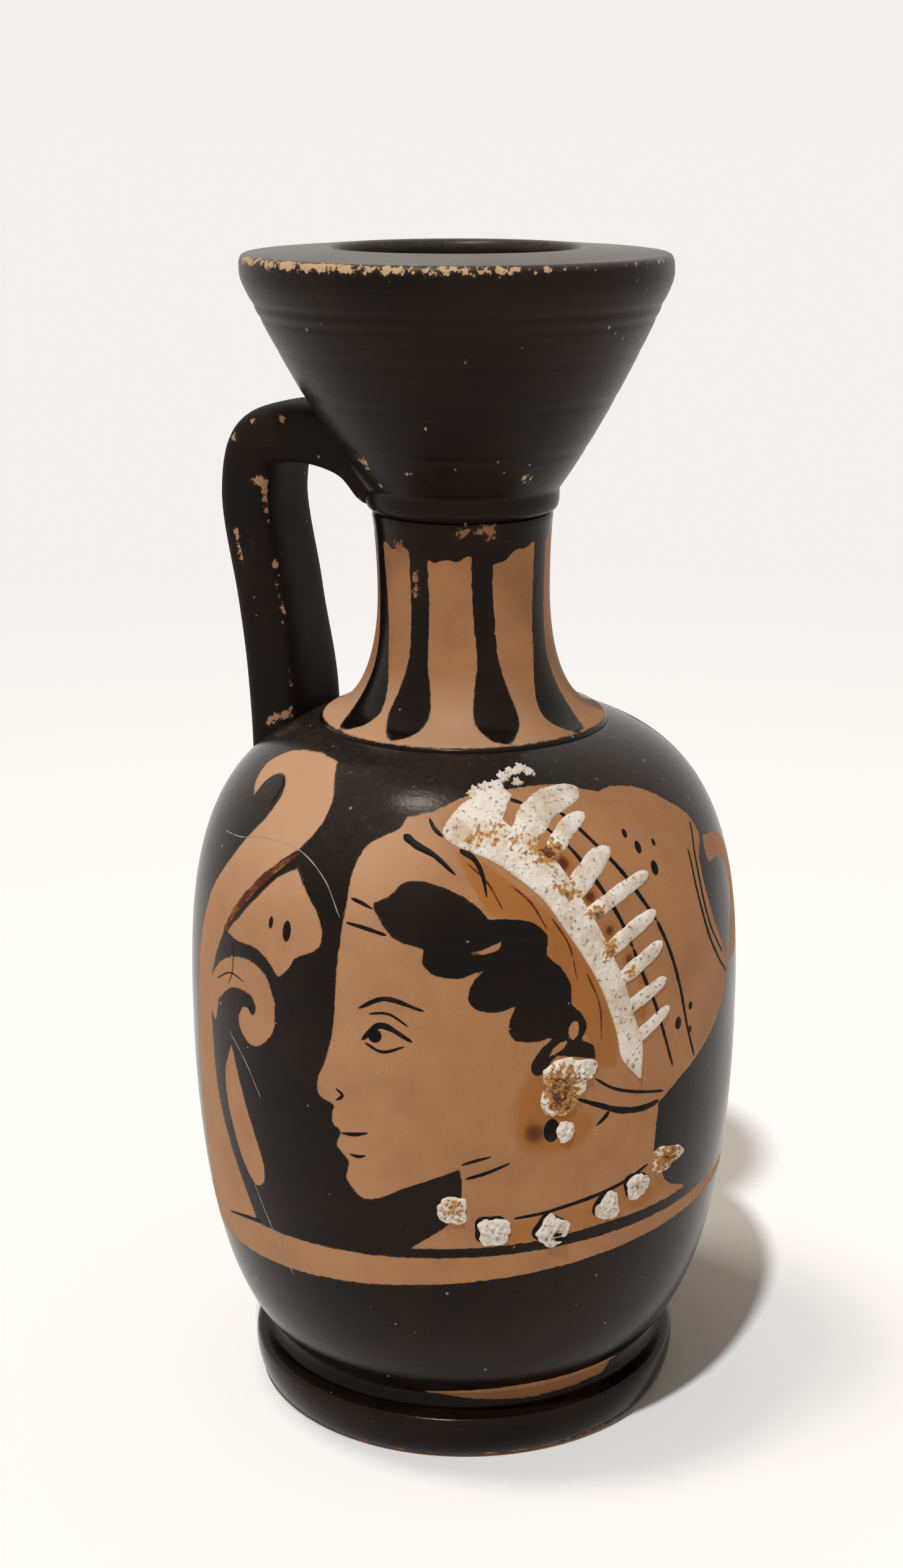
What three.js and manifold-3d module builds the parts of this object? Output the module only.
// Squat lekythos: a small wheel-thrown oil flask with a ring foot, a round body, a narrow neck,
// a flared mouth and one strap handle. Each piece was made by itself and luted on with clay slip.
// Millimetres, +Z up. The foot stands on z = 0, the wheel axis is Z and the handle is towards +Y.

import * as THREE from 'three';
import { mergeVertices } from 'three/addons/utils/BufferGeometryUtils.js';
import Module from 'manifold-3d';

const wasm = await Module();
wasm.setup();

// Joints between the pieces
const SLIP_THICKNESS = 0.5;
const CLEARANCE = 0.3;

// Foot
const FOOT_HEIGHT = 6.35;
const FOOT_STANCE_INNER_RADIUS = 18.5;
const FOOT_STANCE_OUTER_RADIUS = 23.4;
const FOOT_RADIUS = 24.75;
const FOOT_EDGE_DROP = 0.85;
const FOOT_HOLE_RADIUS = 13.5;
const FOOT_HOLE_DEPTH = 1.7;
const FOOT_CURVE_LOW = [0.8, 1.2];
const FOOT_CURVE_HIGH = [0.35, -1.9];

// Body
const BODY_HEIGHT = 71.0;
const BODY_BASE_RADIUS = 21.9;
const BODY_BASE_SWEEP = [7.0, 6.3];
const BELLY_RADIUS = 30.6;
const BELLY_HEIGHT = 39.15;
const BELLY_FULLNESS_BELOW = 15.8;
const BELLY_FULLNESS_ABOVE = 15.8;
const SHOULDER_SWEEP = [13.5, 3.7];
const BODY_WALL = 4.0;
const BODY_FLOOR = 5.0;
const BODY_BOSS_DEPTH = 1.5;
const BODY_COLLAR_DEPTH = 3.2;

// Neck
const NECK_HEIGHT = 22.0;
const NECK_BASE_RADIUS = 15.4;
const NECK_BASE_SWEEP = [4.4, 1.6];
const NECK_WAIST_RADIUS = 9.3;
const NECK_WAIST_HEIGHT = 13.7;
const NECK_WAIST_FULLNESS_BELOW = 6.7;
const NECK_WAIST_FULLNESS_ABOVE = 3.0;
const NECK_TOP_RADIUS = 10.05;
const NECK_TOP_SWEEP = [0.5, 2.0];
const NECK_BORE_RADIUS = 5.5;
const NECK_SPIGOT_RADIUS = 8.0;
const NECK_SPIGOT_LENGTH = 2.8;

// Mouth
const MOUTH_HEIGHT = 27.15;
const MOUTH_RING_HEIGHT = 1.15;
const MOUTH_RING_RELIEF = 0.15;
const MOUTH_BASE_SWEEP = [3.8, 5.2];
const MOUTH_RIM_SWEEP = [3.4, 7.3];
const LIP_RADIUS = 22.65;
const LIP_HEIGHT = 4.0;
const LIP_SETBACK = 0.45;
const LIP_ROUNDING = 1.1;
const RIM_RISE = 0.5;
const OPENING_RADIUS = 12.7;
const OPENING_ROUNDING = 1.2;
const FUNNEL_DEPTH = 21.5;
const MOUTH_SPIGOT_RADIUS = 7.0;
const MOUTH_SPIGOT_LENGTH = 2.75;

// Handle, a flat strap
const HANDLE_WIDTH = 11.0;
const HANDLE_THICKNESS = 6.6;
const HANDLE_CORNER_RADIUS = 1.9;
const HANDLE_REACH = 24.2;
const HANDLE_BULGE_RISE = 1.3;
const HANDLE_CREST_RADIUS = 17.6;
const HANDLE_CREST_RISE = 7.7;
const HANDLE_FOOT_RADIUS = 20.9;
const HANDLE_FOOT_FLARE = 0.12;
const HANDLE_FLARE_LENGTH = 11.0;

// Raised white clay of the painted picture: places along the girth and down from the neck seat
const PICTURE_TURN = THREE.MathUtils.degToRad(-65);
const RELIEF = 0.5;
const CROWN_START = [-1.0, 4.5];
const CROWN_BEND_HIGH = [9.0, 6.8];
const CROWN_BEND_LOW = [15.5, 17.8];
const CROWN_END = [19.3, 32.6];
const CROWN_WIDTH = 5.0;
const CROWN_RAYS = 8;
const RAY_FIRST = 0.22;
const RAY_LAST = 0.82;
const RAY_WIDTH = 2.2;
const RAY_LONGEST = 8.0;
const RAY_SHORTEST = 4.5;
const RAY_TILT = THREE.MathUtils.degToRad(24);
const EARRING_PLACE = [10.8, 31.9];
const EARRING_DIAMETER = 5.6;
const EARRING_DROP_PLACE = [10.4, 36.6];
const EARRING_DROP_DIAMETER = 2.2;
const BEAD_DIAMETER = 3.5;
const BEAD_PLACES = [[-1.2, 45.0], [3.3, 47.4], [9.6, 48.1], [16.2, 46.5], [20.1, 45.1], [24.2, 43.0]];

// How finely the round forms are cut
const TURN_SEGMENTS = 48;
const CURVE_SEGMENTS = 7;
const ROUNDING_SEGMENTS = 3;
const STRAP_STEPS = 32;
const DAB_SEGMENTS = 14;
const DAB_ROWS = 8;
const WELD = 1e-4;

// Levels of the joint faces, from the ground up
const bodyBase = FOOT_HEIGHT + SLIP_THICKNESS;
const bodyTop = bodyBase + BODY_HEIGHT;
const neckBase = bodyTop + SLIP_THICKNESS;
const neckTop = neckBase + NECK_HEIGHT;
const mouthBase = neckTop + SLIP_THICKNESS;
const mouthTop = mouthBase + MOUTH_HEIGHT;
const bellyLevel = bodyBase + BELLY_HEIGHT;

// Sockets that take the boss and the two spigots
const bossRadius = FOOT_HOLE_RADIUS - CLEARANCE;
const collarRadius = NECK_SPIGOT_RADIUS + CLEARANCE;
const socketRadius = MOUTH_SPIGOT_RADIUS + CLEARANCE;
const socketFloor = mouthBase - MOUTH_SPIGOT_LENGTH - CLEARANCE;

const BLACK_GLOSS = { color: 0x1f1b1a, roughness: 0.32, metalness: 0 };
const RED_CLAY = { color: 0xb98a62, roughness: 0.75, metalness: 0 };
const PALE_SLIP = { color: 0x9c7352, roughness: 0.85, metalness: 0 };
const WHITE_CLAY = { color: 0xd8d0c0, roughness: 0.9, metalness: 0 };

// Points of a smooth curve given as [radius, height] pairs, without its first point
function curve(start, startPull, endPull, end, segments = CURVE_SEGMENTS) {
  const pairs = [start, startPull, endPull, end].map(([r, z]) => new THREE.Vector2(r, z));
  const points = new THREE.CubicBezierCurve(...pairs).getPoints(segments);
  return points.slice(1).map((point) => [point.x, point.y]);
}

// Body of revolution about Z from a closed outline of [radius, height] pairs
function turned(outline) {
  const points = outline.map(([radius, height]) => new THREE.Vector2(radius, height));
  const geometry = new THREE.LatheGeometry(points, TURN_SEGMENTS);
  geometry.rotateX(Math.PI / 2);
  return geometry;
}

// Outline moved square to itself, outwards for a positive distance
function grown(outline, distance) {
  return outline.map(([radius, height], i) => {
    const [r0, z0] = outline[Math.max(i - 1, 0)];
    const [r1, z1] = outline[Math.min(i + 1, outline.length - 1)];
    const length = Math.hypot(r1 - r0, z1 - z0);
    return [radius + distance * (z1 - z0) / length, height - distance * (r1 - r0) / length];
  });
}

// Closed mesh as a solid that can be cut and joined
function solid(geometry) {
  const bare = new THREE.BufferGeometry();
  bare.setAttribute('position', geometry.getAttribute('position'));
  bare.setIndex(geometry.getIndex());
  const welded = mergeVertices(bare, WELD);
  const corners = welded.getIndex().array;
  const kept = [];
  for (let i = 0; i < corners.length; i += 3) {
    const triangle = corners.slice(i, i + 3);
    if (new Set(triangle).size === 3) kept.push(...triangle);
  }
  const vertProperties = welded.getAttribute('position').array;
  return new wasm.Manifold(new wasm.Mesh({ numProp: 3, vertProperties, triVerts: new Uint32Array(kept) }));
}

// Solid back to a mesh
function meshed(shape) {
  const { vertProperties, triVerts } = shape.getMesh();
  const geometry = new THREE.BufferGeometry();
  geometry.setAttribute('position', new THREE.BufferAttribute(vertProperties, 3));
  geometry.setIndex(new THREE.BufferAttribute(triVerts, 1));
  geometry.computeVertexNormals();
  return geometry;
}

// Outside of the body, from the foot seat up to the neck seat
function bodyOutline() {
  const belly = [BELLY_RADIUS, bellyLevel];
  const base = [BODY_BASE_RADIUS, bodyBase];
  const top = [NECK_BASE_RADIUS, bodyTop];
  return [
    base,
    ...curve(base, [base[0] + BODY_BASE_SWEEP[0], base[1] + BODY_BASE_SWEEP[1]],
      [belly[0], belly[1] - BELLY_FULLNESS_BELOW], belly),
    ...curve(belly, [belly[0], belly[1] + BELLY_FULLNESS_ABOVE],
      [top[0] + SHOULDER_SWEEP[0], top[1] - SHOULDER_SWEEP[1]], top),
  ];
}

// Outside of the neck, from its flared base to the seat under the mouth
function neckOutline() {
  const base = [NECK_BASE_RADIUS, neckBase];
  const waist = [NECK_WAIST_RADIUS, neckBase + NECK_WAIST_HEIGHT];
  const top = [NECK_TOP_RADIUS, neckTop];
  return [
    base,
    ...curve(base, [base[0] - NECK_BASE_SWEEP[0], base[1] + NECK_BASE_SWEEP[1]],
      [waist[0], waist[1] - NECK_WAIST_FULLNESS_BELOW], waist),
    ...curve(waist, [waist[0], waist[1] + NECK_WAIST_FULLNESS_ABOVE],
      [top[0] - NECK_TOP_SWEEP[0], top[1] - NECK_TOP_SWEEP[1]], top),
  ];
}

// Outside of the mouth, from its seat past the small ring and up the flare to the lip
function mouthOutline() {
  const ringTop = mouthBase + MOUTH_RING_HEIGHT;
  const flare = [NECK_TOP_RADIUS, ringTop];
  const lip = [LIP_RADIUS - LIP_SETBACK, mouthTop - LIP_HEIGHT];
  return [
    [NECK_TOP_RADIUS, mouthBase],
    [NECK_TOP_RADIUS + MOUTH_RING_RELIEF, mouthBase + MOUTH_RING_HEIGHT / 2],
    flare,
    ...curve(flare, [flare[0] + MOUTH_BASE_SWEEP[0], flare[1] + MOUTH_BASE_SWEEP[1]],
      [lip[0] - MOUTH_RIM_SWEEP[0], lip[1] - MOUTH_RIM_SWEEP[1]], lip),
    [LIP_RADIUS, mouthTop - LIP_HEIGHT / 2],
  ];
}

// Solid inside of an outline, closed to the axis at both ends
function filled(outline) {
  const lowest = outline[0][1];
  const highest = outline[outline.length - 1][1];
  return solid(turned([[0, lowest], ...outline, [0, highest]]));
}

// Ring foot with a flat stance and a hole that takes the boss under the body
function footRing() {
  const stance = [FOOT_STANCE_OUTER_RADIUS, 0];
  const edge = [FOOT_RADIUS, FOOT_HEIGHT - FOOT_EDGE_DROP];
  return turned([
    [FOOT_STANCE_INNER_RADIUS, 0],
    stance,
    ...curve(stance, [stance[0] + FOOT_CURVE_LOW[0], FOOT_CURVE_LOW[1]],
      [edge[0] + FOOT_CURVE_HIGH[0], edge[1] + FOOT_CURVE_HIGH[1]], edge),
    [BODY_BASE_RADIUS, FOOT_HEIGHT],
    [FOOT_HOLE_RADIUS, FOOT_HEIGHT],
    [FOOT_HOLE_RADIUS, FOOT_HEIGHT - FOOT_HOLE_DEPTH],
    [FOOT_STANCE_INNER_RADIUS, 0],
  ]);
}

// Hollow thrown body: floor with a boss below, belly, shoulder and the collar that takes the neck
function body() {
  const outside = bodyOutline();
  const floorTop = bodyBase + BODY_FLOOR;
  const inside = grown(outside, -BODY_WALL).reverse();
  const hollow = inside.filter(([radius, height]) => height > floorTop && radius > collarRadius);
  const floorEdge = hollow[hollow.length - 1][0] - BODY_WALL / 2;
  return turned([
    [0, bodyBase - BODY_BOSS_DEPTH],
    [bossRadius, bodyBase - BODY_BOSS_DEPTH],
    [bossRadius, bodyBase],
    ...outside,
    [collarRadius, bodyTop],
    [collarRadius, bodyTop - BODY_COLLAR_DEPTH],
    ...hollow,
    [floorEdge, floorTop],
    [0, floorTop],
  ]);
}

// Neck tube with a spigot below and a socket for the mouth above
function neck() {
  const spigotEnd = neckBase - NECK_SPIGOT_LENGTH;
  return turned([
    [NECK_BORE_RADIUS, spigotEnd],
    [NECK_SPIGOT_RADIUS, spigotEnd],
    [NECK_SPIGOT_RADIUS, neckBase],
    ...neckOutline(),
    [socketRadius, neckTop],
    [socketRadius, socketFloor],
    [NECK_BORE_RADIUS, socketFloor],
    [NECK_BORE_RADIUS, spigotEnd],
  ]);
}

// Flared mouth with a broad rim, a funnel inside and a spigot below
function mouth() {
  const spigotEnd = mouthBase - MOUTH_SPIGOT_LENGTH;
  const funnelFloor = mouthTop - FUNNEL_DEPTH;
  const throat = [OPENING_RADIUS, mouthTop - OPENING_ROUNDING];
  const lipSide = [LIP_RADIUS, mouthTop - LIP_HEIGHT / 2];
  const lipCorner = [LIP_RADIUS, mouthTop - RIM_RISE];
  const rimOuter = [LIP_RADIUS - LIP_ROUNDING, mouthTop - RIM_RISE];
  const rimInner = [OPENING_RADIUS + OPENING_ROUNDING, mouthTop];
  const openingCorner = [OPENING_RADIUS, mouthTop];
  return turned([
    [NECK_BORE_RADIUS, spigotEnd],
    [MOUTH_SPIGOT_RADIUS, spigotEnd],
    [MOUTH_SPIGOT_RADIUS, mouthBase],
    ...mouthOutline(),
    ...curve(lipSide, lipCorner, lipCorner, rimOuter, ROUNDING_SEGMENTS),
    rimInner,
    ...curve(rimInner, openingCorner, openingCorner, throat, ROUNDING_SEGMENTS),
    ...curve(throat, [OPENING_RADIUS - OPENING_ROUNDING, throat[1] - FUNNEL_DEPTH / 3],
      [NECK_BORE_RADIUS, funnelFloor + FUNNEL_DEPTH / 3], [NECK_BORE_RADIUS, funnelFloor]),
    [NECK_BORE_RADIUS, spigotEnd],
  ]);
}

// Flat washer of luting slip between two seats
function slipRing(innerRadius, outerRadius, base) {
  const top = base + SLIP_THICKNESS;
  return turned([
    [innerRadius, base],
    [outerRadius, base],
    [outerRadius, top],
    [innerRadius, top],
    [innerRadius, base],
  ]);
}

// Strap along the handle's path, running on into the mouth and the shoulder that cut it off
function strap() {
  const half = [HANDLE_WIDTH / 2 - HANDLE_CORNER_RADIUS, HANDLE_THICKNESS / 2 - HANDLE_CORNER_RADIUS];
  const section = new THREE.Shape();
  section.absarc(half[0], half[1], HANDLE_CORNER_RADIUS, 0, Math.PI / 2);
  section.absarc(-half[0], half[1], HANDLE_CORNER_RADIUS, Math.PI / 2, Math.PI);
  section.absarc(-half[0], -half[1], HANDLE_CORNER_RADIUS, Math.PI, Math.PI * 1.5);
  section.absarc(half[0], -half[1], HANDLE_CORNER_RADIUS, Math.PI * 1.5, Math.PI * 2);
  const crest = neckTop + HANDLE_CREST_RISE;
  const bulge = neckTop + HANDLE_BULGE_RISE;
  const path = new THREE.CatmullRomCurve3([
    [NECK_BORE_RADIUS, crest - HANDLE_THICKNESS / 2],
    [(NECK_BORE_RADIUS + HANDLE_CREST_RADIUS) / 2, crest - HANDLE_THICKNESS / 6],
    [HANDLE_CREST_RADIUS, crest],
    [HANDLE_REACH - HANDLE_THICKNESS / 4, crest - HANDLE_THICKNESS / 6],
    [HANDLE_REACH, bulge],
    [(HANDLE_REACH + HANDLE_FOOT_RADIUS) / 2, (bulge + bodyTop) / 2],
    [HANDLE_FOOT_RADIUS, bodyTop],
    [HANDLE_FOOT_RADIUS, bellyLevel],
  ].map(([radius, height]) => new THREE.Vector3(0, radius, height)));
  const options = { extrudePath: path, steps: STRAP_STEPS, curveSegments: ROUNDING_SEGMENTS };
  const geometry = new THREE.ExtrudeGeometry(section, options);
  const places = geometry.getAttribute('position');
  for (let i = 0; i < places.count; i += 1) {
    const above = (places.getZ(i) - bodyTop) / HANDLE_FLARE_LENGTH;
    const near = 1 - THREE.MathUtils.smoothstep(above, 0, 1);
    places.setX(i, places.getX(i) * (1 + HANDLE_FOOT_FLARE * near));
  }
  return solid(geometry);
}

// Neck and mouth in one, grown by a distance, to cut what is set against them
function upperPot(distance) {
  const neckSide = filled(grown(neckOutline(), distance));
  const mouthSide = filled(grown(mouthOutline(), distance));
  const bridge = filled([
    [NECK_TOP_RADIUS + distance, neckTop - SLIP_THICKNESS],
    [NECK_TOP_RADIUS + distance, mouthBase + SLIP_THICKNESS],
  ]);
  return neckSide.add(mouthSide).add(bridge);
}

// Body grown by a distance, to cut what is set against it
function lowerPot(distance) {
  return filled(grown(bodyOutline(), distance));
}

// Slip pad where the strap meets the pot, with the clearance on both sides of it
function slipPad(shape, pot) {
  return shape.intersect(pot(CLEARANCE + SLIP_THICKNESS)).subtract(pot(CLEARANCE));
}

// Point on the outside wall, a distance along the girth from the picture's middle line
function wallPlace([girth, drop]) {
  const height = bodyTop - drop;
  const outside = bodyOutline();
  const above = outside.findIndex(([, level]) => level >= height);
  const [r0, z0] = outside[above - 1];
  const [r1, z1] = outside[above];
  const radius = THREE.MathUtils.mapLinear(height, z0, z1, r0, r1);
  const turn = PICTURE_TURN + girth / BELLY_RADIUS;
  const slope = Math.atan2(r0 - r1, z1 - z0);
  return { radius, turn, slope, height };
}

// Rounded dab of white clay on the wall
function dab(place, diameter) {
  const { radius, turn, slope, height } = wallPlace(place);
  const geometry = new THREE.SphereGeometry(diameter / 2, DAB_SEGMENTS, DAB_ROWS);
  geometry.scale(1, 1, (CLEARANCE + RELIEF) / (diameter / 2));
  geometry.rotateX(Math.PI / 2 - slope);
  geometry.translate(0, -radius, height);
  geometry.rotateZ(turn);
  return meshed(solid(geometry).subtract(lowerPot(CLEARANCE)));
}

// Outline of girth and drop pairs, seen straight on, run out through the wall
function outwardPrism(outline, middleTurn) {
  const flat = outline.map((place) => {
    const { radius, turn, height } = wallPlace(place);
    return new THREE.Vector2(radius * Math.sin(turn - middleTurn), height);
  });
  const options = { depth: BELLY_RADIUS, bevelEnabled: false };
  const geometry = new THREE.ExtrudeGeometry(new THREE.Shape(flat), options);
  geometry.rotateX(Math.PI / 2);
  geometry.translate(0, -NECK_BASE_RADIUS / 2, 0);
  geometry.rotateZ(middleTurn);
  return solid(geometry);
}

// Crown: a tapering band with rays, cut from a thin shell round the body
function crown() {
  const ends = [CROWN_START, CROWN_BEND_HIGH, CROWN_BEND_LOW, CROWN_END];
  const line = new THREE.CubicBezierCurve(...ends.map(([girth, drop]) => new THREE.Vector2(girth, drop)));
  const middleTurn = PICTURE_TURN + (CROWN_START[0] + CROWN_END[0]) / 2 / BELLY_RADIUS;
  const edge = (t, side) => {
    const across = line.getTangent(t);
    const point = line.getPoint(t);
    const reach = side * CROWN_WIDTH / 2 * Math.sqrt(1 - t);
    return [point.x - across.y * reach, point.y + across.x * reach];
  };
  const steps = Array.from({ length: CROWN_RAYS * 2 }, (_, i) => i / (CROWN_RAYS * 2));
  const band = [...steps.map((t) => edge(t, -1)), CROWN_END, ...steps.map((t) => edge(t, 1)).reverse()];
  let flat = outwardPrism(band, middleTurn);
  for (let i = 0; i < CROWN_RAYS; i += 1) {
    const share = i / (CROWN_RAYS - 1);
    const root = line.getPoint(THREE.MathUtils.lerp(RAY_FIRST, RAY_LAST, share));
    const length = THREE.MathUtils.lerp(RAY_LONGEST, RAY_SHORTEST, share) + CROWN_WIDTH / 2;
    const along = [Math.cos(RAY_TILT), -Math.sin(RAY_TILT)];
    const half = RAY_WIDTH / 2;
    const ray = [
      [root.x + along[1] * half, root.y - along[0] * half],
      [root.x + along[0] * length, root.y + along[1] * length],
      [root.x - along[1] * half, root.y + along[0] * half],
    ];
    flat = flat.add(outwardPrism(ray, middleTurn));
  }
  const shell = lowerPot(CLEARANCE + RELIEF).subtract(lowerPot(CLEARANCE));
  return meshed(shell.intersect(flat));
}

const lekythos = new THREE.Group();
lekythos.name = 'squat_lekythos';

function place(name, geometry, finish) {
  const mesh = new THREE.Mesh(geometry, new THREE.MeshStandardMaterial(finish));
  mesh.name = name;
  lekythos.add(mesh);
}

// Thrown pieces and the slip between their seats
place('foot_ring', footRing(), BLACK_GLOSS);
place('foot_slip', slipRing(FOOT_HOLE_RADIUS, BODY_BASE_RADIUS - CLEARANCE, FOOT_HEIGHT), RED_CLAY);
place('body', body(), BLACK_GLOSS);
place('neck_slip', slipRing(collarRadius, NECK_BASE_RADIUS - CLEARANCE, bodyTop), PALE_SLIP);
place('neck', neck(), RED_CLAY);
place('mouth_slip', slipRing(socketRadius, NECK_TOP_RADIUS - CLEARANCE, neckTop), PALE_SLIP);
place('mouth', mouth(), BLACK_GLOSS);

// Handle and the slip pads at its two ends
const strapGap = CLEARANCE * 2 + SLIP_THICKNESS;
const wholeStrap = strap();
const handle = wholeStrap.subtract(upperPot(strapGap)).subtract(lowerPot(strapGap));
place('handle', meshed(handle), BLACK_GLOSS);
place('handle_upper_slip', meshed(slipPad(wholeStrap, upperPot)), PALE_SLIP);
place('handle_lower_slip', meshed(slipPad(wholeStrap, lowerPot)), PALE_SLIP);

// White clay laid on the picture
place('crown', crown(), WHITE_CLAY);
place('earring', dab(EARRING_PLACE, EARRING_DIAMETER), WHITE_CLAY);
place('earring_drop', dab(EARRING_DROP_PLACE, EARRING_DROP_DIAMETER), WHITE_CLAY);
BEAD_PLACES.forEach((spot, i) => place(`necklace_bead_${i + 1}`, dab(spot, BEAD_DIAMETER), WHITE_CLAY));

export default lekythos;
